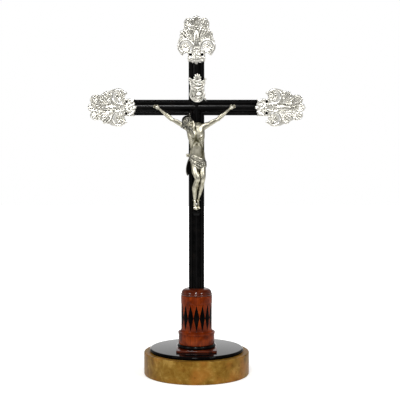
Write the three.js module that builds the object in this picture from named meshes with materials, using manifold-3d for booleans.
// Standing altar crucifix: a moulded ebonised cross with silver mounts and a silver figure,
// on a turned and inlaid socle, a polished round plate and a thick wooden drum.
// Millimetres, +Z up. Origin: centre of the underside of the drum. The front faces -Y.
import * as THREE from 'three';
import { mergeVertices } from 'three/addons/utils/BufferGeometryUtils.js';
import Module from 'manifold-3d';

const wasm = await Module();
wasm.setup();

// Clearances
const fit = 0.3;            // gap round a piece that is let into, or cut to, its neighbour

// Base
const drumDiameter = 171;
const drumHeight = 36.9;
const drumEdge = 1.5;       // rounded edges of the drum
const plateDiameter = 152.4;
const plateThickness = 6;
const socleForward = 14;    // the socle and the cross stand forward of the drum's axis
const plinthSide = 65;
const plinthThickness = 3.8;

// Turned socle, from the plinth up
const footRingDiameter = 62.4;
const footRingThickness = 6;
const socleFootDiameter = 57.8;
const socleFootHeight = 16.6;
const beadRingDiameter = 59.4;
const beadRingThickness = 6.4;
const beadRingFillet = 3;        // plain band under the ring's hollow
const columnDiameter = 49.6;
const columnHeight = 43;
const collarDiameter = 50.3;
const collarHeight = 12.9;
const capDiameter = 50.8;
const capRim = 3.8;
const capLipDepth = 0.9;
const capDomeWidth = 9.6;
const capDomeHeight = 7.6;

// Inlay of the column
const lozengeCount = 16;
const lozengeHeight = 41.4;
const lozengeThickness = 1.2;

// Fixing screw, up through the drum into the column
const screwDiameter = 7;
const screwHeadDiameter = 16;
const screwHeadHeight = 4;
const screwBite = 16.3;          // the screw's hold in the column
const screwSlotWidth = 1.6;
const screwSlotDepth = 1.5;
const washerDiameter = 20;
const washerThickness = 1.5;
const counterboreDepth = 8;
const counterboreClearance = 1;  // round the washer

// Cross
const armWidth = 24.8;
const coreThickness = 10.5;
const mouldingThickness = 5.5;
const crossingHeight = 433.3;   // centre of the crossing above the ground
const topHoleReach = 83.6;      // from the crossing to the line of the top finial's two piercings
const sideHoleReach = 111.4;    // same line on the side arms
const armPastHoles = 2.4;       // the wood ends this far beyond that line
const tenonWidth = 12;
const tenonThickness = 7;
const tenonBite = 18.7;         // the tenon's hold in the column, below cap and collar
const halfRoundWidth = 12.5;
const halfRoundHeight = 2.6;
const quirkWidth = 1;
const quirkDepth = 3;
const bandDrop = 0.7;           // outer bands lie this far below the half round's crest

// Foot rest
const footRestWidth = 12.2;
const footRestHeight = 7.2;
const footRestReach = 8;
const footRestStep = 3;          // the upper part stands out this much further
const footRestBelowNail = 12.6;

// Silver mounts
const piercingSpacing = 18.2;
const piercingDiameter = 3.4;
const finialThickness = 1.4;
const finialRelief = 2.4;
const ribbonWidth = 2.8;
const volutePitch = 19.5;       // centre of the large volutes from the finial's axis
const voluteRise = 12.3;
const voluteRadius = 11;
const upperVolutePitch = 13;
const upperVoluteRise = 48;
const upperVoluteRadius = 6.6;
const spearRise = 27;
const spearLength = 30;
const spearWidth = 8.4;
const budRise = 53;
const budWidth = 13.6;
const budLength = 18;
const cuffWall = 0.9;
const cuffFlare = 29.2;
const cuffNear = 4.2;           // edge of the cuff's front nearest the piercings
const cuffReaches = { top: 14.8, left: 16.2, right: 18.6 };
const cuffPinDiameter = 1.6;
const cuffPinLength = 7;

// Title plate
const titleWidth = 25;
const titleHeight = 35;
const titleRise = 8.3;          // its lowest point above the centre of the crossing
const titleThickness = 1.3;
const titleShift = 1.3;
const titlePinDiameter = 1.5;
const titlePinHeadDiameter = 2.6;
const titlePinInsets = [4.7, 6.4];  // from the plate's bottom and from its top

// Nails and pins from the front
const handNailDiameter = 1.5;
const footNailDiameter = 1.8;
const nailHeadDiameter = 3.4;
const nailDepth = 8.5;          // they end this far behind the wood's front plane

// Figure, placed from the centre of the crossing; depths are in front of the wood
const shoulderDrop = 31.6;
const hipDrop = 84.3;
const feetDrop = 152.3;
const leftHandReach = 62.5;
const rightHandReach = 55.9;
const leftShoulderReach = 12.5;
const rightShoulderReach = 8.5;
const feetShift = -0.4;
const headShift = -13.3;
const headRise = 9.7;           // centre of the head above the shoulders
const headForward = 23.5;
const palmForward = 3;
const palmThickness = 2.8;
const instepForward = 12.6;
const instepThickness = 4.4;

// Levels and planes that follow from the sizes
const lozengePitch = 2 * (columnDiameter / 2 - lozengeThickness) * Math.tan(Math.PI / lozengeCount);
const lozengeWidth = lozengePitch - fit;
const plateBottom = drumHeight;
const plinthBottom = plateBottom + plateThickness;
const footRingBottom = plinthBottom + plinthThickness;
const socleFootBottom = footRingBottom + footRingThickness;
const beadRingBottom = socleFootBottom + socleFootHeight;
const columnBottom = beadRingBottom + beadRingThickness;
const collarBottom = columnBottom + columnHeight;
const capBottom = collarBottom + collarHeight;
const capTop = capBottom + capRim + capDomeHeight;
const frontY = -socleForward - (coreThickness + mouldingThickness) / 2;
const coreFrontY = frontY + mouldingThickness;
const coreBackY = coreFrontY + coreThickness;
const coreY = (coreFrontY + coreBackY) / 2;
const sideArmEnd = sideHoleReach + armPastHoles;
const topHoleHeight = crossingHeight + topHoleReach;
const topArmEnd = topHoleHeight + armPastHoles;
const tenonBottom = collarBottom - tenonBite;
const washerBottom = counterboreDepth - washerThickness;
const titleBottom = crossingHeight + titleRise;
const shoulderHeight = crossingHeight - shoulderDrop;
const hipHeight = crossingHeight - hipDrop;
const feetHeight = crossingHeight - feetDrop;
const footRestTop = feetHeight - footRestBelowNail;

const materials = {
  burr: new THREE.MeshStandardMaterial({ color: 0x8f6d36, roughness: 0.6, metalness: 0 }),
  blackPolish: new THREE.MeshStandardMaterial({ color: 0x0a0a0c, roughness: 0.06, metalness: 0 }),
  fruitwood: new THREE.MeshStandardMaterial({ color: 0x8a3c12, roughness: 0.3, metalness: 0 }),
  ebonised: new THREE.MeshStandardMaterial({ color: 0x0d0c0c, roughness: 0.3, metalness: 0 }),
  silver: new THREE.MeshStandardMaterial({ color: 0xd8d6cc, roughness: 0.28, metalness: 1 }),
  darkSilver: new THREE.MeshStandardMaterial({ color: 0x4a4844, roughness: 0.42, metalness: 1 }),
  steel: new THREE.MeshStandardMaterial({ color: 0x77797c, roughness: 0.4, metalness: 1 }),
};

const object = new THREE.Group();

// Keeps only position in a geometry and joins the vertices that coincide.
function weld(geometry) {
  const bare = geometry.clone();
  bare.deleteAttribute('normal');
  bare.deleteAttribute('uv');
  return mergeVertices(bare, 1e-4);
}

function toManifold(geometry) {
  const welded = weld(geometry);
  return new wasm.Manifold(new wasm.Mesh({
    numProp: 3,
    vertProperties: new Float32Array(welded.attributes.position.array),
    triVerts: new Uint32Array(welded.index.array),
  }));
}

function toGeometry(manifold) {
  const mesh = manifold.getMesh();
  const geometry = new THREE.BufferGeometry();
  geometry.setAttribute('position', new THREE.BufferAttribute(new Float32Array(mesh.vertProperties), 3));
  geometry.setIndex(new THREE.BufferAttribute(new Uint32Array(mesh.triVerts), 1));
  return geometry;
}

function join(first, ...others) {
  return toGeometry(others.reduce((sum, next) => sum.add(toManifold(next)), toManifold(first)));
}

function cut(body, ...tools) {
  return toGeometry(tools.reduce((rest, tool) => rest.subtract(toManifold(tool)), toManifold(body)));
}

function common(first, second) {
  return toGeometry(toManifold(first).intersect(toManifold(second)));
}

function place(name, geometry, material, { x = 0, y = 0, z = 0, turnY = 0, turnZ = 0 } = {}) {
  const bare = weld(geometry);
  bare.computeVertexNormals();
  const mesh = new THREE.Mesh(bare, material);
  mesh.name = name;
  mesh.position.set(x, y, z);
  mesh.rotation.set(0, turnY, turnZ);
  object.add(mesh);
  return mesh;
}

// A turned piece: [radius, height] pairs from the bottom up, from axis to axis, or closed on
// itself round a bore.
function turned(profile, segments) {
  const points = profile.map(([radius, height]) => new THREE.Vector2(radius, height));
  return new THREE.LatheGeometry(points, segments).rotateX(Math.PI / 2);
}

function rod(diameter, bottom, top, segments = 16) {
  return new THREE.CylinderGeometry(diameter / 2, diameter / 2, top - bottom, segments)
    .rotateX(Math.PI / 2).translate(0, 0, (top + bottom) / 2);
}

// A rod along Y, from the back to the front.
function crossRod(diameter, back, front, segments = 8) {
  return new THREE.CylinderGeometry(diameter / 2, diameter / 2, Math.abs(back - front), segments)
    .translate(0, (back + front) / 2, 0);
}

function block(width, depth, height, x, y, z) {
  return new THREE.BoxGeometry(width, depth, height).translate(x, y, z);
}

// Points of an elliptical arc about (x, z), both ends included.
function arc(x, z, radiusX, radiusZ, from, to, steps) {
  return Array.from({ length: steps + 1 }, (_, i) => {
    const angle = from + ((to - from) * i) / steps;
    return [x + radiusX * Math.cos(angle), z + radiusZ * Math.sin(angle)];
  });
}

// Extrudes an outline drawn in X and Z towards the front, from y = 0 to y = -thickness.
function relief(shape, thickness, curveSegments = 6) {
  return new THREE.ExtrudeGeometry(shape, { depth: thickness, bevelEnabled: false, curveSegments })
    .rotateX(Math.PI / 2);
}

function outline(points) {
  return new THREE.Shape(points.map(([x, z]) => new THREE.Vector2(x, z)));
}

function mirrored(points) {
  return points.map(([x, z]) => [-x, z]).reverse();
}

// Base drum, plate and plinth
const boreDiameter = screwDiameter + 2 * fit;
const half = Math.PI / 2;

function baseDrum() {
  const radius = drumDiameter / 2;
  const body = turned([
    [0, 0],
    [radius - drumEdge, 0],
    [radius, drumEdge],
    [radius, drumHeight - drumEdge],
    [radius - drumEdge, drumHeight],
    [0, drumHeight],
  ], 56);
  const bore = rod(boreDiameter, -1, drumHeight + 1).translate(0, -socleForward, 0);
  const counterboreDiameter = washerDiameter + 2 * counterboreClearance;
  const counterbore = rod(counterboreDiameter, -1, counterboreDepth, 24).translate(0, -socleForward, 0);
  return cut(body, bore, counterbore);
}

function basePlate() {
  const edge = plateThickness / 2;
  const radius = plateDiameter / 2;
  const body = turned([
    [0, 0],
    ...arc(radius - edge, edge, edge, edge, -half, half, 4),
    [0, plateThickness],
  ], 56);
  return cut(body, rod(boreDiameter, -1, plateThickness + 1).translate(0, -socleForward, 0));
}

function plinth() {
  const slab = block(plinthSide, plinthSide, plinthThickness, 0, 0, plinthThickness / 2);
  return cut(slab, rod(boreDiameter, -1, plinthThickness + 1));
}

place('base_drum', baseDrum(), materials.burr);
place('base_plate', basePlate(), materials.blackPolish, { z: plateBottom });
place('plinth', plinth(), materials.fruitwood, { y: -socleForward, z: plinthBottom });

// Turned socle. Each ring is threaded on the fixing screw; the upper ones take the tenon.
const bore = boreDiameter / 2;
const turnedSegments = 3 * lozengeCount;
const ringSegments = 40;
const onSocle = (z) => ({ y: -socleForward, z });

function footRing() {
  const radius = footRingDiameter / 2;
  const roll = footRingThickness / 2;
  return turned([
    [bore, 0],
    ...arc(radius - roll, roll, roll, roll, -half, half, 5),
    [bore, footRingThickness],
    [bore, 0],
  ], ringSegments);
}

function socleFoot() {
  const radius = socleFootDiameter / 2;
  return turned([
    [bore, 0], [radius - 0.6, 0], [radius, 0.8], [radius, socleFootHeight], [bore, socleFootHeight], [bore, 0],
  ], ringSegments);
}

function beadRing() {
  const radius = beadRingDiameter / 2;
  const neck = columnDiameter / 2;
  return turned([
    [bore, 0],
    [radius - 0.8, 0],
    [radius, 0.8],
    ...arc(radius, beadRingThickness, radius - neck - 0.6, beadRingThickness - beadRingFillet, -half, -2 * half, 3),
    [bore, beadRingThickness],
    [bore, 0],
  ], ringSegments);
}

function lozenge(width, height, inner, outer) {
  const shape = outline([[width / 2, 0], [0, height / 2], [-width / 2, 0], [0, -height / 2]]);
  return relief(shape, outer - inner).translate(0, -inner, columnHeight / 2);
}

function tenonHole(bottom, top) {
  const depth = tenonThickness + 2 * fit;
  return block(tenonWidth + 2 * fit, depth, top - bottom, 0, coreY + socleForward, (top + bottom) / 2);
}

function column() {
  const radius = columnDiameter / 2;
  const body = turned([[0, 0], [radius, 0], [radius, columnHeight], [0, columnHeight]], turnedSegments);
  const pockets = Array.from({ length: lozengeCount }, (_, i) =>
    lozenge(lozengeWidth + 2 * fit, lozengeHeight + 2 * fit, radius - lozengeThickness - fit, radius + 1)
      .rotateZ((i * 2 * Math.PI) / lozengeCount));
  const screwHole = rod(boreDiameter, -1, screwBite + 1);
  const mortise = tenonHole(tenonBottom - 1 - columnBottom, columnHeight + 1);
  return cut(body, ...pockets, screwHole, mortise);
}

// A flat-backed lozenge whose face follows the column.
function inlay() {
  const radius = columnDiameter / 2;
  const face = turned([[0, 0], [radius, 0], [radius, columnHeight], [0, columnHeight]], turnedSegments);
  return common(lozenge(lozengeWidth, lozengeHeight, radius - lozengeThickness, radius + 1), face);
}

function collar() {
  const radius = collarDiameter / 2;
  const body = turned([[0, 0], [radius, 0], [radius, collarHeight], [0, collarHeight]], ringSegments);
  return cut(body, tenonHole(-1, collarHeight + 1));
}

function socleCap() {
  const radius = capDiameter / 2;
  const lip = capRim / 2;
  const body = turned([
    [0, 0],
    ...arc(radius - lip, lip, lip, lip, -half, half, 3).slice(0, -1),
    ...arc(radius - capLipDepth - capDomeWidth, capRim, capDomeWidth, capDomeHeight, 0, half, 4),
    [0, capRim + capDomeHeight],
  ], ringSegments);
  return cut(body, tenonHole(-1, capTop - capBottom + 1));
}

function fixingScrew() {
  const headBottom = washerBottom - screwHeadHeight;
  const shank = rod(screwDiameter, washerBottom - 1, columnBottom + screwBite);
  const head = rod(screwHeadDiameter, headBottom, washerBottom, 20);
  const slot = block(screwHeadDiameter + 2, screwSlotWidth, 2 * screwSlotDepth, 0, 0, headBottom);
  return cut(join(shank, head), slot);
}

function fixingWasher() {
  const outer = washerDiameter / 2;
  return turned([[bore, 0], [outer, 0], [outer, washerThickness], [bore, washerThickness], [bore, 0]], 24);
}

place('foot_ring', footRing(), materials.ebonised, onSocle(footRingBottom));
place('socle_foot', socleFoot(), materials.fruitwood, onSocle(socleFootBottom));
place('socle_bead_ring', beadRing(), materials.fruitwood, onSocle(beadRingBottom));
place('socle_column', column(), materials.fruitwood, onSocle(columnBottom));
const inlayGeometry = inlay();
for (let i = 0; i < lozengeCount; i++) {
  const name = `lozenge_${String(i + 1).padStart(2, '0')}`;
  place(name, inlayGeometry, materials.ebonised, {
    ...onSocle(columnBottom), turnZ: (i * 2 * Math.PI) / lozengeCount,
  });
}
place('socle_collar', collar(), materials.fruitwood, onSocle(collarBottom));
place('socle_cap', socleCap(), materials.fruitwood, onSocle(capBottom));
place('fixing_screw', fixingScrew(), materials.steel, onSocle(0));
place('fixing_washer', fixingWasher(), materials.steel, onSocle(washerBottom));

// Cross: two half-lapped cores, faced by four mouldings mitred at the crossing
const lapDepth = coreThickness / 2;
const lap = armWidth + 2 * fit;

function upright() {
  const post = block(armWidth, coreThickness, topArmEnd - capTop, 0, coreY, (topArmEnd + capTop) / 2);
  const tenon = block(tenonWidth, tenonThickness, capTop + 1 - tenonBottom, 0, coreY, (capTop + 1 + tenonBottom) / 2);
  const notch = block(armWidth + 2, lapDepth + 1, lap, 0, coreFrontY + (lapDepth - 1) / 2, crossingHeight);
  return cut(join(post, tenon), notch, ...coreHoles());
}

function crossbar() {
  const bar = block(2 * sideArmEnd, coreThickness, armWidth, 0, coreY, crossingHeight);
  const notch = block(lap, lapDepth + 1 + fit, armWidth + 2, 0, coreBackY - (lapDepth - 1 + fit) / 2, crossingHeight);
  return cut(bar, notch, ...coreHoles());
}

// The moulding's section: half round in the middle, a quirk each side, then a grooved band.
function mouldingProfile() {
  const edge = armWidth / 2;
  const round = halfRoundWidth / 2;
  const radius = (round * round + halfRoundHeight * halfRoundHeight) / (2 * halfRoundHeight);
  const sweep = Math.asin(round / radius);
  const crest = Array.from({ length: 9 }, (_, i) => {
    const angle = -sweep + (2 * sweep * i) / 8;
    return [radius * Math.sin(angle), radius * Math.cos(angle) - radius];
  });
  const band = [
    [edge, -bandDrop - 0.6],
    [edge - 0.6, -bandDrop],
    [edge - 1.8, -bandDrop],
    [edge - 2.2, -bandDrop - 0.8],
    [edge - 2.6, -bandDrop],
    [round + quirkWidth, -bandDrop],
    [round + quirkWidth - 0.2, -quirkDepth],
    [round, -quirkDepth],
  ];
  return [
    [edge, -mouldingThickness],
    ...band,
    ...crest.reverse(),
    ...band.map(([v, w]) => [-v, w]).reverse(),
    [-edge, -mouldingThickness],
  ];
}

// One arm of the facing, its mitred end at the crossing and its length along +Z.
function moulding(length) {
  const strip = new THREE.ExtrudeGeometry(outline(mouldingProfile()), { depth: length, bevelEnabled: false });
  const reach = armWidth;
  const wedge = relief(outline([
    [0, fit / 2], [reach, reach + fit / 2], [reach, -1], [-reach, -1], [-reach, reach + fit / 2],
  ]), 4 * mouldingThickness).translate(0, 2 * mouldingThickness, 0);
  const upright = strip.clone().applyMatrix4(new THREE.Matrix4().makeBasis(
    new THREE.Vector3(-1, 0, 0), new THREE.Vector3(0, -1, 0), new THREE.Vector3(0, 0, 1)));
  return cut(upright, wedge);
}

// Turns about Y that carry an upright arm's frame to each arm of the cross
const armTurns = { top: 0, right: half, bottom: Math.PI, left: -half };
const armLengths = {
  top: topArmEnd - crossingHeight,
  right: sideArmEnd,
  bottom: crossingHeight - capTop,
  left: sideArmEnd,
};

// Frame of each mount: origin on the line of its piercings, in the wood's front plane.
const mountFrames = {
  top: { y: frontY, z: topHoleHeight, turnY: armTurns.top },
  left: { x: -sideHoleReach, y: frontY, z: crossingHeight, turnY: armTurns.left },
  right: { x: sideHoleReach, y: frontY, z: crossingHeight, turnY: armTurns.right },
};

function carried(geometry, { x = 0, y = 0, z = 0, turnY = 0 }) {
  return geometry.clone().rotateY(turnY).translate(x, y, z);
}

// A pin or nail along Y in front of the wood's front plane: shank and domed head.
function pin(diameter, headDiameter, tip, headBase, grow = 0) {
  const headHeight = headDiameter * 0.35;
  const shank = crossRod(diameter + 2 * grow, tip + grow, -headBase - headHeight / 2);
  if (grow > 0) return shank;
  const head = new THREE.SphereGeometry(headDiameter / 2, 8, 4).scale(1, 0.7, 1).translate(0, -headBase, 0);
  const flat = block(headDiameter * 2, headDiameter, headDiameter * 2, 0, -headBase + headDiameter / 2, 0);
  return join(shank, cut(head, flat));
}

const titlePlaces = [titleBottom + titlePinInsets[0], titleBottom + titleHeight - titlePinInsets[1]];
const leftHand = { x: -leftHandReach, y: frontY, z: crossingHeight };
const rightHand = { x: rightHandReach, y: frontY, z: crossingHeight };
const feet = { x: feetShift, y: frontY, z: feetHeight };

function frontHoles() {
  const hole = (diameter) => crossRod(diameter + 2 * fit, nailDepth + fit, -headForward);
  const titleHole = hole(titlePinDiameter);
  const handHole = hole(handNailDiameter);
  const footHole = hole(footNailDiameter);
  return [
    ...titlePlaces.map((z) => carried(titleHole, { x: titleShift, y: frontY, z })),
    carried(handHole, leftHand),
    carried(handHole, rightHand),
    carried(footHole, feet),
  ];
}

const cuffBackW = coreThickness + mouldingThickness + fit;
const cuffPinRise = -6;

function coreHoles() {
  const back = crossRod(cuffPinDiameter + 2 * fit, cuffBackW + 2, cuffBackW - cuffPinLength - fit)
    .translate(0, 0, cuffPinRise);
  return [...frontHoles(), ...Object.values(mountFrames).map((frame) => carried(back, frame))];
}

function facing(arm) {
  const strip = carried(moulding(armLengths[arm]), { y: frontY, z: crossingHeight, turnY: armTurns[arm] });
  return cut(strip, ...frontHoles());
}

function footRest() {
  const back = -halfRoundHeight - 0.2;
  const lip = footRestHeight * 0.42;
  const lowerReach = footRestReach - footRestStep;
  const upper = block(footRestWidth, footRestReach - back, lip, 0, -(footRestReach + back) / 2, -lip / 2);
  const lower = block(footRestWidth - footRestStep, lowerReach - back, footRestHeight,
    0, -(lowerReach + back) / 2, -footRestHeight / 2);
  const wood = carried(join(upper, lower), { y: frontY, z: footRestTop });
  const halfRound = new THREE.ExtrudeGeometry(outline(mouldingProfile()), { depth: 20, bevelEnabled: false })
    .applyMatrix4(new THREE.Matrix4().makeBasis(
      new THREE.Vector3(-1, 0, 0), new THREE.Vector3(0, -1, 0), new THREE.Vector3(0, 0, 1)))
    .translate(0, frontY - fit, footRestTop - footRestHeight - 5);
  return cut(wood, halfRound);
}

place('upright_core', upright(), materials.ebonised);
place('crossbar_core', crossbar(), materials.ebonised);
for (const arm of Object.keys(armTurns)) place(`moulding_${arm}`, facing(arm), materials.ebonised);
place('foot_rest', footRest(), materials.ebonised);

// Silver finials: a pierced root that lies on the wood, and scrolls and leaves that spring from it.
// Outlines are drawn as [across, outward] from the line of the piercings.
function smooth(points, steps) {
  const curve = new THREE.SplineCurve(points.map(([x, z]) => new THREE.Vector2(x, z)));
  return curve.getPoints(steps).map((p) => [p.x, p.y]);
}

// A strip along a centre line; width is a number or a function of the way along it, 0 to 1.
function strip(points, width) {
  const widthAt = typeof width === 'function' ? width : () => width;
  const sides = [[], []];
  points.forEach(([x, z], i) => {
    const [x0, z0] = points[Math.max(0, i - 1)];
    const [x1, z1] = points[Math.min(points.length - 1, i + 1)];
    const length = Math.hypot(x1 - x0, z1 - z0);
    const reach = widthAt(i / (points.length - 1)) / 2;
    const offset = [(-(z1 - z0) / length) * reach, ((x1 - x0) / length) * reach];
    sides[0].push([x + offset[0], z + offset[1]]);
    sides[1].push([x - offset[0], z - offset[1]]);
  });
  return outline([...sides[0], ...sides[1].reverse()]);
}

function spiral(x, z, startRadius, endRadius, from, to, steps) {
  return Array.from({ length: steps + 1 }, (_, i) => {
    const way = i / steps;
    const angle = from + (to - from) * way;
    const radius = startRadius + (endRadius - startRadius) * way;
    return [x + radius * Math.cos(angle), z + radius * Math.sin(angle)];
  });
}

function leaf(points, widest) {
  return strip(smooth(points, 3), (way) => widest * (0.25 + Math.sin(Math.PI * Math.min(1, way * 0.92 + 0.08)) * 0.75));
}

function finialRoot() {
  const shape = outline([
    [-10.6, -9.5], [10.6, -9.5], [11.6, -4], [14.5, 0.5], [11.5, 6], [6, 9.5],
    [-6, 9.5], [-11.5, 6], [-14.5, 0.5], [-11.6, -4],
  ]);
  for (const side of [-1, 1]) {
    const hole = new THREE.Path().absarc(side * piercingSpacing / 2, 0, piercingDiameter / 2, 0, 2 * Math.PI, true);
    shape.holes.push(hole);
  }
  return shape;
}

function finial() {
  const halfShapes = [
    [strip(spiral(volutePitch - 1.5, voluteRise + 1, voluteRadius + 1, 3.2, 1.85, -7.2, 11), ribbonWidth), finialRelief],
    [leaf([[24, 6], [24.8, 1.6], [22.8, -1.6], [19.5, 0.2]], 4.6), finialThickness],
    [leaf([[0.5, 33], [10, 36], [19, 34.8], [26, 35.6]], 5), finialThickness + 0.4],
    [leaf([[1, 24.5], [11, 27.5], [18, 26.4], [24.5, 29.5], [27.5, 25.5]], 5.6), finialThickness + 0.4],
    [strip(spiral(upperVolutePitch, upperVoluteRise, upperVoluteRadius + 4, 2.2, -2.5, 4.4, 9), ribbonWidth), finialRelief],
    [strip(smooth([[4.5, 5], [8, 11], [8.6, 18], [4, 25]], 3), ribbonWidth), finialRelief - 0.4],
    [leaf([[18.5, 42.5], [21, 40], [22.6, 43.6], [20.6, 47]], 4.4), finialThickness],
    [leaf([[6.6, 50], [9, 55.5], [12, 57.6]], 4), finialThickness],
  ];
  const centreShapes = [
    [finialRoot(), finialThickness],
    [outline(mirrored([[0, spearRise + spearLength / 2], [spearWidth / 2, spearRise + 2], [spearWidth * 0.36, spearRise - 7],
      [2, spearRise - spearLength / 2], [-2, spearRise - spearLength / 2], [-spearWidth * 0.36, spearRise - 7],
      [-spearWidth / 2, spearRise + 2]])), finialRelief + 0.6],
    [outline(arc(0, 41.4, 5, 3.4, 0, 2 * Math.PI, 8).slice(1)), finialRelief + 0.8],
    [outline(arc(0, budRise, budWidth / 2, budLength / 2, 0, 2 * Math.PI, 10).slice(1)), finialRelief + 0.8],
  ];
  const mirror = (geometry) => geometry.clone().scale(-1, 1, 1);
  const solids = centreShapes.map(([shape, thickness]) => relief(shape, thickness, 4));
  for (const [shape, thickness] of halfShapes) {
    const right = relief(shape, thickness, 4);
    solids.push(right);
    const left = weld(mirror(right));
    left.index.array.reverse();
    solids.push(left);
  }
  return join(...solids).translate(0, -fit, 0);
}

// A cuff is a box of sheet silver slipped over the arm's end and the finial's root, with a
// scalloped tongue on its front.
function cuff(reach) {
  const inner = armWidth / 2 + fit;
  const outer = inner + cuffWall;
  const frontW = fit + finialThickness + fit;
  const endU = armPastHoles + fit;
  const sleeveStart = -reach + 4;
  const sleeve = block(2 * outer, cuffBackW + cuffWall + frontW, endU + cuffWall - sleeveStart,
    0, (cuffBackW + cuffWall - frontW) / 2, (endU + cuffWall + sleeveStart) / 2);
  const wood = block(2 * inner, cuffBackW + frontW, endU - sleeveStart + 1,
    0, (cuffBackW - frontW) / 2, (endU + sleeveStart - 1) / 2);
  const opening = block(4 * outer, 20, endU + cuffWall + cuffNear + 1,
    0, -10, (endU + cuffWall + 1 - cuffNear) / 2);
  const flare = cuffFlare / 2;
  const side = [
    [inner - 0.5, -cuffNear], [flare, -cuffNear - 2.4], [flare - 0.8, -cuffNear - 4.2],
    [outer, -cuffNear - 5], [outer - 0.3, sleeveStart], [6.4, sleeveStart - 0.3], [3.4, -reach + 0.9],
  ];
  const tongue = relief(outline([...side, [0, -reach], ...mirrored(side)]), cuffWall).translate(0, -frontW, 0);
  const pinHole = crossRod(cuffPinDiameter + 2 * fit, cuffBackW + 5, cuffBackW - 2).translate(0, 0, cuffPinRise);
  return cut(join(cut(sleeve, opening), tongue), wood, pinHole);
}

function cuffPin() {
  const headBase = cuffBackW + cuffWall + 0.1;
  const shank = crossRod(cuffPinDiameter, headBase + 0.4, cuffBackW - cuffPinLength);
  const head = new THREE.CylinderGeometry(1.9, 1.5, 0.8, 8).translate(0, headBase + 0.4, 0);
  return join(shank, head).translate(0, 0, cuffPinRise);
}

const finialGeometry = finial();
const cuffPinGeometry = cuffPin();
for (const arm of ['top', 'left', 'right']) {
  place(`finial_${arm}`, finialGeometry, materials.silver, mountFrames[arm]);
  place(`cuff_${arm}`, cuff(cuffReaches[arm]), materials.silver, mountFrames[arm]);
  place(`cuff_pin_${arm}`, cuffPinGeometry, materials.silver, mountFrames[arm]);
}

// Title plate: a bare cartouche with a shell crest, a boss and a rolled rim
function titlePlate() {
  const side = titleWidth / 2;
  const body = outline([
    ...arc(0, side * 1.02, side, side * 1.02, -half, 0, 6),
    [side - 1.6, titleHeight * 0.66],
    [side + 0.6, titleHeight * 0.86],
    [side - 1.8, titleHeight],
    [4, titleHeight - 1.4],
    ...mirrored([...arc(0, side * 1.02, side, side * 1.02, -half, 0, 6).slice(1),
      [side - 1.6, titleHeight * 0.66], [side + 0.6, titleHeight * 0.86], [side - 1.8, titleHeight], [4, titleHeight - 1.4]]),
  ]);
  const crest = outline([[-4.6, titleHeight - 3], ...arc(0, titleHeight, 6.6, 11, Math.PI, 0, 8), [4.6, titleHeight - 3]].reverse());
  const ball = (radius, depth, x, z) => new THREE.SphereGeometry(radius, 8, 6).scale(1, depth / radius, 1).translate(x, -1, z);
  const solids = [
    relief(body, titleThickness),
    relief(crest, titleThickness + 0.8),
    ball(6, 3, 2.4, 12.6).scale(1, 1, 0.86),
    ball(2.3, 2.1, -side + 0.3, titleHeight + 0.6),
    ball(2.3, 2.1, side - 0.3, titleHeight + 1.2),
  ];
  const back = block(200, 20, 200, 0, 10, 0);
  const solid = cut(join(...solids), back).translate(titleShift, frontY - fit, titleBottom);
  return cut(solid, ...frontHoles());
}

function titlePin() {
  return pin(titlePinDiameter, titlePinHeadDiameter, nailDepth, fit + titleThickness + 0.1);
}

place('title_plate', titlePlate(), materials.silver);
place('title_pin_lower', titlePin(), materials.silver, { x: titleShift, y: frontY, z: titlePlaces[0] });
place('title_pin_upper', titlePin(), materials.silver, { x: titleShift, y: frontY, z: titlePlaces[1] });

// Figure. Stations are [x, z, front, wide, deep]: place across and up, distance in front of the
// wood, and the section's half sizes. Rings between them follow a smooth curve.
function loft(stations, { sides = 12, rings = 12, across = [1, 0, 0], depth = null, grow = 0 } = {}) {
  const centres = new THREE.CatmullRomCurve3(
    stations.map(([x, z, front]) => new THREE.Vector3(x, frontY - front, z)), false, 'centripetal');
  const sizes = new THREE.CatmullRomCurve3(
    stations.map(([, , , wide, deep]) => new THREE.Vector3(wide + grow, deep + grow, 0)), false, 'centripetal');
  const wideAxis = new THREE.Vector3(...across).normalize();
  const vertices = [];
  const faces = [];
  for (let i = 0; i < rings; i++) {
    const way = i / (rings - 1);
    const centre = centres.getPoint(way);
    const tangent = centres.getTangent(way);
    const size = sizes.getPoint(way);
    const a = depth ? wideAxis.clone() : wideAxis.clone().addScaledVector(tangent, -wideAxis.dot(tangent)).normalize();
    const b = depth ? new THREE.Vector3(...depth) : new THREE.Vector3().crossVectors(tangent, a);
    for (let j = 0; j < sides; j++) {
      const angle = (2 * Math.PI * j) / sides;
      const p = centre.clone().addScaledVector(a, size.x * Math.cos(angle)).addScaledVector(b, size.y * Math.sin(angle));
      vertices.push(p.x, p.y, p.z);
    }
  }
  const ends = [0, 1].map((way) => {
    const bulge = (way ? 1 : -1) * (0.5 * Math.min(sizes.getPoint(way).x, sizes.getPoint(way).y));
    const p = centres.getPoint(way).addScaledVector(centres.getTangent(way), bulge);
    vertices.push(p.x, p.y, p.z);
    return vertices.length / 3 - 1;
  });
  for (let j = 0; j < sides; j++) {
    const k = (j + 1) % sides;
    for (let i = 0; i < rings - 1; i++) {
      const [p, q, r, s] = [i * sides + j, i * sides + k, (i + 1) * sides + j, (i + 1) * sides + k];
      faces.push(p, q, r, q, s, r);
    }
    const last = (rings - 1) * sides;
    faces.push(ends[0], k, j, ends[1], last + j, last + k);
  }
  const geometry = new THREE.BufferGeometry();
  geometry.setAttribute('position', new THREE.BufferAttribute(new Float32Array(vertices), 3));
  geometry.setIndex(faces);
  return geometry;
}

// Stations of the trunk go from the shoulders (0) to the hips (1), those of a leg from the hips to
// the nail, and those of an arm from the shoulder to the nail: [way, x or sag, front, wide, deep].
const down = (top, bottom) => ([way, x, ...section]) => [x, top + (bottom - top) * way, ...section];

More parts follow.
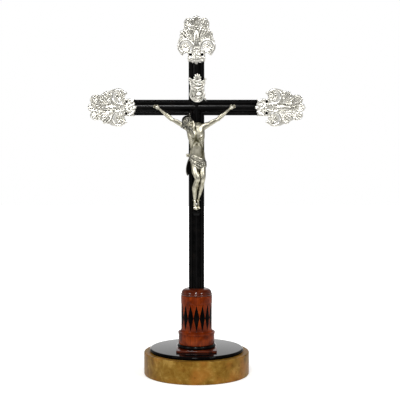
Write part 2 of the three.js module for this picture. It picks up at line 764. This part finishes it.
// Round the hips, where trunk, legs and cloth meet, stations are [x, height above the hips, ...].
const fromHips = ([x, z, ...section]) => [x, hipHeight + z, ...section];

const torsoStations = [
  [-0.13, -3.5, 12.5, 8, 5], [-0.04, -2.6, 13, 14.5, 6.6], [0.08, -1.2, 14, 13.8, 7.8], [0.23, -0.4, 14.6, 13.0, 8.2],
  [0.41, 0.2, 14.2, 11.6, 7.8], [0.62, 0.8, 12.6, 10.8, 6.9], [0.79, 1.1, 12, 11.4, 7.4], [0.97, 1.8, 12.2, 12.4, 8.4],
].map(down(shoulderHeight, hipHeight)).concat([[2.4, -5.8, 13, 10.8, 7.6], [2.8, -10.54, 13.8, 7, 5]].map(fromHips));

const neckStations = [
  [-3.5, shoulderHeight + 1.3, 12, 4.6, 4.6],
  [(headShift + 0.1) / 2, shoulderHeight + headRise * 0.48, headForward - 7.5, 4.1, 4.1],
  [headShift + 2.9, shoulderHeight + headRise - 2.8, headForward - 3.9, 4, 4],
];

const palm = [palmForward, 2.7, palmThickness / 2];
const armStations = [
  [0, 0, 13, 4.8, 4.6], [0.12, 1, 12.8, 4.6, 4.4], [0.25, 1.7, 12, 3.5, 3.4], [0.39, 2.4, 11, 3.1, 3],
  [0.52, 3.2, 10, 3, 2.9], [0.64, 2.2, 8.8, 3.3, 3], [0.78, 0.8, 6.8, 2.7, 2.4], [0.91, -0.1, 4.6, 1.9, 1.7],
  [0.99, -0.4, ...palm], [1.06, -1.2, 3.4, 2.4, 1.3], [1.13, -2, 4.4, 1.2, 0.9],
];

const instep = [instepForward, 2.6, instepThickness / 2];
const legStations = {
  left: [[-3.6, 0, 12.5, 5.2, 6.2], [-3.6, -6.8, 14.8, 5.3, 6]].map(fromHips).concat([
    [0.24, -2, 18.8, 5.6, 5.6], [0.33, 0.6, 21.6, 5.4, 4.8],
    [0.4, 2, 22.4, 4.8, 4.2], [0.49, 0, 19.5, 4.4, 3.9], [0.62, -2.6, 16.6, 4.6, 4.2], [0.76, -2.5, 13.6, 3.6, 3.3],
    [0.88, feetShift - 2.2, 11.4, 2.5, 2.5], [0.95, feetShift - 2.4, 11, 2.5, 3], [1.015, feetShift - 2.2, ...instep],
    [1.07, feetShift - 1.6, 14.6, 2.2, 1.6], [1.11, feetShift - 1, 15.8, 1.6, 1],
  ].map(down(hipHeight, feetHeight))),
  right: [[9.2, 0, 12.5, 5.2, 6.2], [9.6, -6.8, 14, 5.3, 5.9]].map(fromHips).concat([
    [0.24, 9.8, 17.6, 5, 5.3], [0.33, 10.4, 20.2, 4.4, 4.5],
    [0.41, 10.2, 20.6, 4, 3.9], [0.5, 8.8, 17.4, 3.8, 3.7], [0.62, 7.2, 14.6, 4, 4], [0.75, 5, 11.8, 3.2, 3.2],
    [0.87, feetShift + 3.3, 9.2, 2.3, 2.4], [0.95, feetShift + 2.7, 8.6, 2.4, 3],
    [1.02, feetShift + 2.7, instepForward - 3, 2.4, 2.2], [1.09, feetShift + 3.2, 11.6, 2.2, 1.6],
    [1.13, feetShift + 3.6, 13, 1.6, 1],
  ].map(down(hipHeight, feetHeight))),
};
const armAcross = [0, 0, 1];

function torso(grow = 0) {
  const trunk = loft(torsoStations, { sides: 14, rings: 14, grow });
  const neck = loft(neckStations, { sides: 10, rings: 5, grow });
  return join(trunk, neck);
}

function arm(side, grow = 0) {
  const shoulderX = side === 'left' ? -leftShoulderReach : rightShoulderReach;
  const handX = side === 'left' ? -leftHandReach : rightHandReach;
  const [run, rise] = [handX - shoulderX, shoulderDrop];
  const length = Math.hypot(run, rise);
  const stations = armStations.map(([way, sag, ...section]) => [
    shoulderX + run * way + (Math.sign(run) * rise * sag) / length,
    shoulderHeight + rise * way - (Math.abs(run) * sag) / length,
    ...section,
  ]);
  return loft(stations, { sides: 8, rings: 18, across: armAcross, grow });
}

function leg(side, grow = 0) {
  return loft(legStations[side], { sides: 9, rings: 20, grow });
}

// Head frame: the head has sunk forward and towards its right shoulder.
const headHeight = shoulderHeight + headRise;
const headCentre = new THREE.Vector3(headShift, frontY - headForward, headHeight);
const headUp = new THREE.Vector3(-0.8, -0.3, 0.52).normalize();
const headSide = new THREE.Vector3(-0.11, 0.93, 0.36).cross(headUp).normalize();
const headBack = new THREE.Vector3().crossVectors(headUp, headSide);

// Carries a shape drawn about the head's centre (X to the side, -Y forward, +Z to the crown).
function onHead(geometry) {
  const frame = new THREE.Matrix4().makeBasis(headSide, headBack, headUp).setPosition(headCentre);
  return geometry.applyMatrix4(frame);
}

function headLoft(stations, grow, sides = 11, rings = 10) {
  const local = stations.map(([up, forward, wide, deep]) => [0, up, forward, wide, deep]);
  return onHead(loft(local, { sides, rings, grow }).translate(0, -frontY, 0));
}

const crownHalfWidth = 9.2;
const crownHalfDepth = 10.2;
const crownRise = 3.4;
const crownStrand = 0.8;

const skullStations = [
  [8.6, -0.8, 2.2, 2.6], [7, -0.8, 4.5, 5.4], [4.2, -0.6, 6, 7.2], [1, -0.2, 6.1, 7.4], [-2, 0.6, 5.4, 6.6],
  [-5, 1.6, 4.5, 5.1], [-7.8, 2.8, 3.4, 3.4], [-10.4, 3.8, 1.8, 1.6],
];
const noseStations = [[2.2, 7.2, 0.6, 0.6], [-0.2, 7.9, 0.8, 1], [-2, 8.4, 1.1, 1.1]];

function head(grow = 0) {
  return join(headLoft(skullStations, grow), headLoft(noseStations, grow, 6, 4));
}

function crown() {
  const strands = [0, 1].map((strand) => {
    const points = 18;
    const turn = (i) => (2 * Math.PI * i) / points;
    const rise = (i) => Math.sin(3 * turn(i) + strand * Math.PI);
    const swell = (i) => 0.7 * Math.cos(3 * turn(i) + strand * Math.PI);
    const centreLine = Array.from({ length: points }, (_, i) => new THREE.Vector3(
      (crownHalfWidth + swell(i)) * Math.cos(turn(i)),
      (crownHalfDepth + swell(i)) * Math.sin(turn(i)) + 0.8,
      crownRise + rise(i)));
    return ringTube(centreLine, crownStrand, 4);
  });
  const thorns = [0.4, 1.7, 2.9, 4, 5.2].map((angle) => new THREE.ConeGeometry(0.7, 4, 4)
    .translate(0, 2, 0).rotateZ(angle - half)
    .translate(crownHalfWidth * Math.cos(angle), crownHalfDepth * Math.sin(angle) + 0.8, crownRise));
  return onHead(join(...strands, ...thorns));
}

// Groove that the crown lies in, with room for its twist
function crownGroove() {
  const ring = arc(0, 0.8, crownHalfWidth, crownHalfDepth, 0, 2 * Math.PI, 14).slice(1)
    .map(([x, y]) => new THREE.Vector3(x, y, crownRise));
  return onHead(ringTube(ring, 2 * crownStrand + fit, 6));
}

// A closed tube through a ring of points.
function ringTube(points, radius, sides) {
  const vertices = [];
  const faces = [];
  const count = points.length;
  const centre = points.reduce((sum, p) => sum.add(p), new THREE.Vector3()).divideScalar(count);
  points.forEach((p, i) => {
    const tangent = points[(i + 1) % count].clone().sub(points[(i + count - 1) % count]).normalize();
    const outward = p.clone().sub(centre).setZ(0).normalize();
    const b = new THREE.Vector3().crossVectors(tangent, outward).normalize();
    for (let j = 0; j < sides; j++) {
      const angle = (2 * Math.PI * j) / sides;
      const q = p.clone().addScaledVector(outward, radius * Math.cos(angle)).addScaledVector(b, radius * Math.sin(angle));
      vertices.push(q.x, q.y, q.z);
    }
  });
  for (let i = 0; i < count; i++) {
    for (let j = 0; j < sides; j++) {
      const [n, k] = [(i + 1) % count, (j + 1) % sides];
      const [p, q, r, s] = [i * sides + j, i * sides + k, n * sides + j, n * sides + k];
      faces.push(p, q, r, q, s, r);
    }
  }
  const geometry = new THREE.BufferGeometry();
  geometry.setAttribute('position', new THREE.BufferAttribute(new Float32Array(vertices), 3));
  geometry.setIndex(faces);
  return geometry;
}

function hair(grow = 0) {
  const cap = onHead(new THREE.SphereGeometry(1, 12, 8).scale(7.6 + grow, 8.8 + grow, 8.4 + grow).translate(0, 1, 1.6));
  const face = onHead(block(30, 20, 20, 0, -13.2, -7));
  const locks = [
    [[-3.2, -5.4, -2.5, 3, 2.6], [-9.2, -8.6, -3, 2.2, 2], [-14.7, -10.4, -3.5, 0.8, 0.8]],
    [[-2.2, -6.4, -2.5, 3, 2.6], [-7.7, -11, -4.9, 2, 2], [-12.7, -15, -6.1, 0.8, 0.8]],
    [[-0.2, -6, -3, 3.6, 2.6], [-1.7, -12.8, -0.9, 2.8, 2], [0.3, -19.4, 0.5, 1.2, 1.2]],
    [[0.8, -6.8, 1, 2, 1.8], [5.7, -12.4, 1.7, 2.4, 1.6], [8.9, -19, 1.7, 1, 1]],
  ].map((lock) => {
    const stations = lock.map(([x, z, front, ...section]) => [headShift + x, headHeight + z, headForward + front, ...section]);
    return loft(stations, { sides: 6, rings: 5, grow });
  });
  return join(cut(cap, face), ...locks);
}

const tiltedAcross = [0.93, 0, -0.36];
const forward = [0, -1, 0];


function loincloth() {
  const wrap = loft([
    [1.6, 7.4, 12.3, 12.8, 9.8], [1.8, 1.5, 12.6, 14.4, 10.8], [2.4, -3.6, 13.4, 13.6, 10.6], [3, -9.6, 14.8, 9.4, 8.6],
  ].map(fromHips), { sides: 14, rings: 8, across: tiltedAcross, depth: forward });
  const roll = loft([
    [-10.2, 7.4, 14, 2.2, 2.2], [-6.4, 6.2, 20, 2.8, 2.6], [1.8, 2.6, 23, 3, 2.6], [9.6, -0.4, 21.4, 2.8, 2.6],
    [15, -2.4, 14, 2.2, 2.2],
  ].map(fromHips), { sides: 7, rings: 8, across: armAcross });
  return cut(join(wrap, roll), torso(fit), leg('left', fit), leg('right', fit), knot(fit), tail(fit));
}

function knot(grow = 0) {
  const loop = (x, z, front, wide, tall, deep) => new THREE.SphereGeometry(1, 8, 6)
    .scale(wide + grow, deep + grow, tall + grow).translate(x, frontY - front, hipHeight + z);
  return join(loop(-13.9, 10, 11.4, 3.4, 2, 2.4), loop(-10.8, 7.6, 13.2, 2.2, 2.6, 2.6));
}

function tail(grow = 0) {
  return loft([
    [-10.6, 4, 12, 1.6, 1.6], [-11.8, -2, 10.8, 3, 1.7], [-13, -10, 9.6, 3.7, 1.6], [-13.6, -17.5, 8.8, 3, 1.4],
    [-14, -22.4, 8.2, 1, 0.8],
  ].map(fromHips), { sides: 10, rings: 10, grow });
}

function handNail() {
  return pin(handNailDiameter, nailHeadDiameter, nailDepth, palmForward + palmThickness / 2 + fit);
}

function footNail() {
  return pin(footNailDiameter, nailHeadDiameter, nailDepth, instepForward + instepThickness / 2 + fit);
}

const holes = frontHoles();
place('corpus_torso', cut(torso(), head(fit), hair(fit)), materials.silver);
place('corpus_head', head(), materials.silver);
place('corpus_hair', cut(hair(), head(fit), crownGroove()), materials.darkSilver);
place('crown_of_thorns', cut(crown(), head(fit), arm('left', fit)), materials.darkSilver);
for (const side of ['left', 'right']) {
  const limb = cut(arm(side), torso(fit), hair(fit), ...holes);
  place(`corpus_arm_${side}`, limb, materials.silver);
}
place('corpus_leg_left', cut(leg('left'), torso(fit), ...holes), materials.silver);
place('corpus_leg_right', cut(leg('right'), torso(fit), leg('left', fit), ...holes), materials.silver);
place('loincloth', loincloth(), materials.silver);
place('loincloth_knot', cut(knot(), torso(fit)), materials.silver);
place('loincloth_tail', cut(tail(), torso(fit), leg('left', fit), knot(fit)), materials.darkSilver);
place('hand_nail_left', carried(handNail(), leftHand), materials.silver);
place('hand_nail_right', carried(handNail(), rightHand), materials.silver);
place('foot_nail', carried(footNail(), feet), materials.silver);

export default object;
